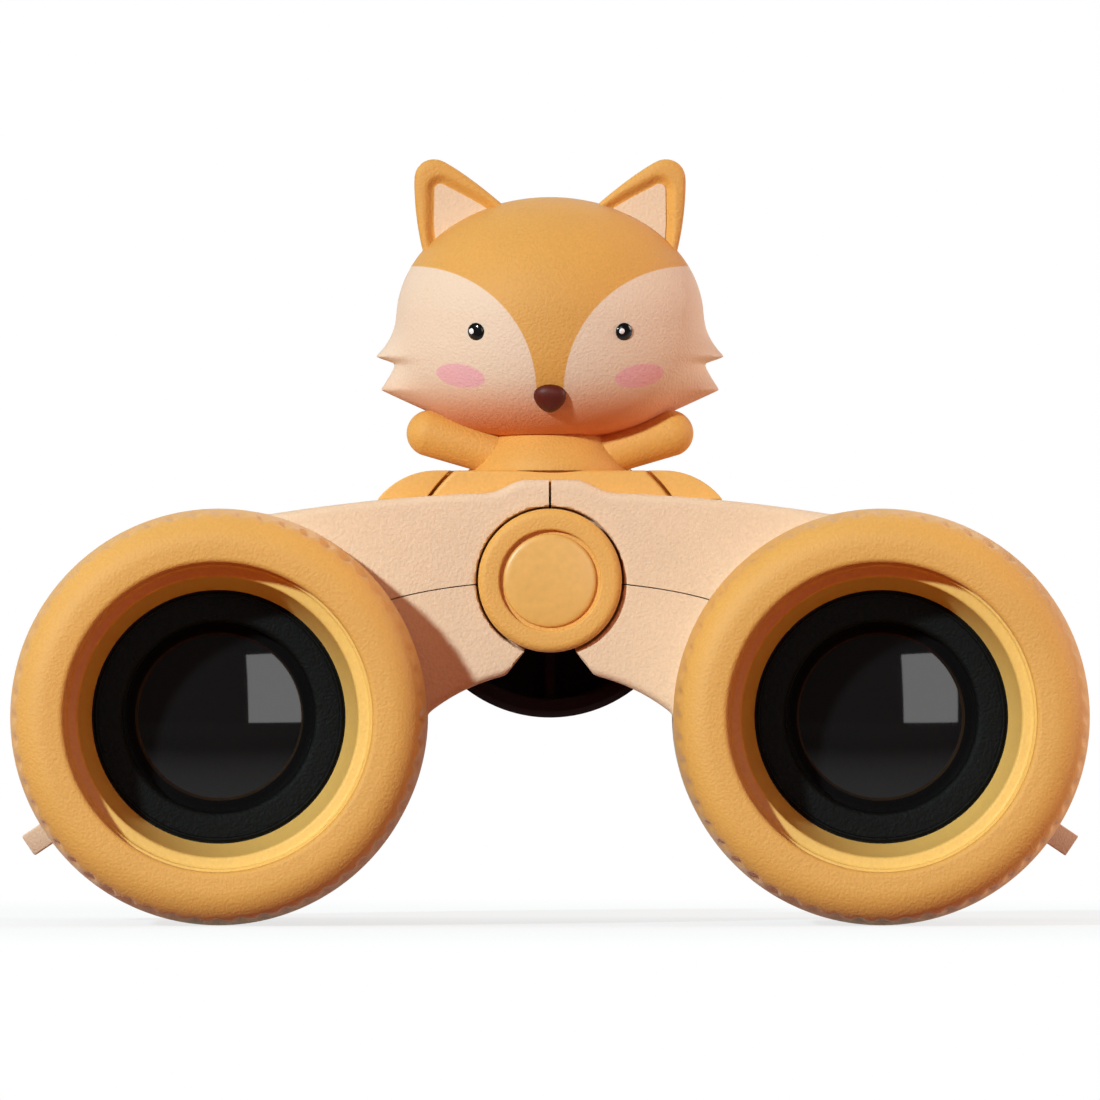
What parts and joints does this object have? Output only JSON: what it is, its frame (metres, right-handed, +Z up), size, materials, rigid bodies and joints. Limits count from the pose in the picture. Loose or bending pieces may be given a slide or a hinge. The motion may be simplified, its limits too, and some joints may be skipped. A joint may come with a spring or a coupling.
{
  "type": "toy binoculars",
  "caption": "Small folding toy binoculars with ribbed rubber bumpers, a centre focus wheel and an animal figure sitting on the bridge.",
  "frame": {"origin": "under the middle of the body, on the surface that the barrels rest on", "axes": "+X to the right seen from the objective side, +Y from the objectives towards the eyes, +Z up"},
  "size_m": [0.114, 0.0872, 0.0809],
  "materials": {
    "beige_plastic": "fine matte soft-touch ABS",
    "badge_plastic": "smooth satin plastic",
    "orange_rubber": "matte soft rubber",
    "orange_plastic": "satin ABS",
    "fox_vinyl": "matte vinyl, painted face",
    "cream_vinyl": "matte vinyl",
    "brown_plastic": "matte dark plastic",
    "eye_black": "glossy paint",
    "black_plastic": "matte black plastic",
    "clear_lens": "clear polished lens",
    "steel": "plain steel"
  },
  "bodies": {
    "centre": {"hinge_bolt": "steel", "hinge_end_nut": "steel", "hinge_washers": "steel", "hinge_cap": "orange_plastic", "cap_badge": "badge_plastic", "fox_base": "orange_plastic", "fox_torso": "fox_vinyl", "fox_left_arm": "fox_vinyl", "fox_right_arm": "fox_vinyl", "fox_head": "fox_vinyl", "fox_left_ear": "fox_vinyl", "fox_right_ear": "fox_vinyl", "fox_ear_linings": "cream_vinyl", "fox_nose": "brown_plastic", "fox_eyes": "eye_black"},
    "focus_wheel": {"focus_wheel": "brown_plastic", "focus_screw": "black_plastic"},
    "left_half": {"left_upper_shell": "beige_plastic", "left_lower_shell": "beige_plastic", "left_shell_screws": "steel", "left_bumper_ring": "orange_rubber", "left_objective_hood": "orange_plastic", "left_lens_retainer": "black_plastic", "left_objective_lens": "clear_lens", "left_objective_tube": "black_plastic", "left_strap_lug": "beige_plastic", "left_saddle_pad": "orange_plastic"},
    "left_eyepiece": {"left_eyepiece_tube": "black_plastic", "left_ocular_lens": "clear_lens", "left_ocular_retainer": "black_plastic", "left_eyecup": "orange_rubber", "left_focus_arm": "black_plastic", "focus_nut": "black_plastic", "nut_clip": "steel"},
    "right_half": {"right_upper_shell": "beige_plastic", "right_lower_shell": "beige_plastic", "right_shell_screws": "steel", "right_bumper_ring": "orange_rubber", "right_objective_hood": "orange_plastic", "right_lens_retainer": "black_plastic", "right_objective_lens": "clear_lens", "right_objective_tube": "black_plastic", "right_strap_lug": "beige_plastic", "right_saddle_pad": "orange_plastic"},
    "right_eyepiece": {"right_eyepiece_tube": "black_plastic", "right_ocular_lens": "clear_lens", "right_ocular_retainer": "black_plastic", "right_eyecup": "orange_rubber", "right_focus_arm": "black_plastic"}
  },
  "joints": [
    {"name": "left_fold", "type": "hinge", "parent": "centre", "child": "left_half", "pos_m": [0, 0, 0.0364], "axis": [0, -1, 0], "range_deg": [0, 17]},
    {"name": "right_fold", "type": "hinge", "parent": "centre", "child": "right_half", "pos_m": [0, 0, 0.0364], "axis": [0, 1, 0], "range_deg": [0, 17]},
    {"name": "focus_turn", "type": "hinge", "parent": "centre", "child": "focus_wheel", "pos_m": [0, 0, 0.0364], "axis": [0, 1, 0], "range_deg": [-180, 180]},
    {"name": "left_focus_slide", "type": "slide", "parent": "left_half", "child": "left_eyepiece", "axis": [0, 1, 0], "range_m": [-0.0022, 0.0022]},
    {"name": "right_focus_slide", "type": "slide", "parent": "right_half", "child": "right_eyepiece", "axis": [0, 1, 0], "range_m": [-0.0022, 0.0022]}
  ],
  "couplings": [
    {"joint": "left_focus_slide", "follows": "focus_turn", "m_per_rad": 0.0007},
    {"joint": "right_focus_slide", "follows": "focus_turn", "m_per_rad": 0.0007}
  ]
}
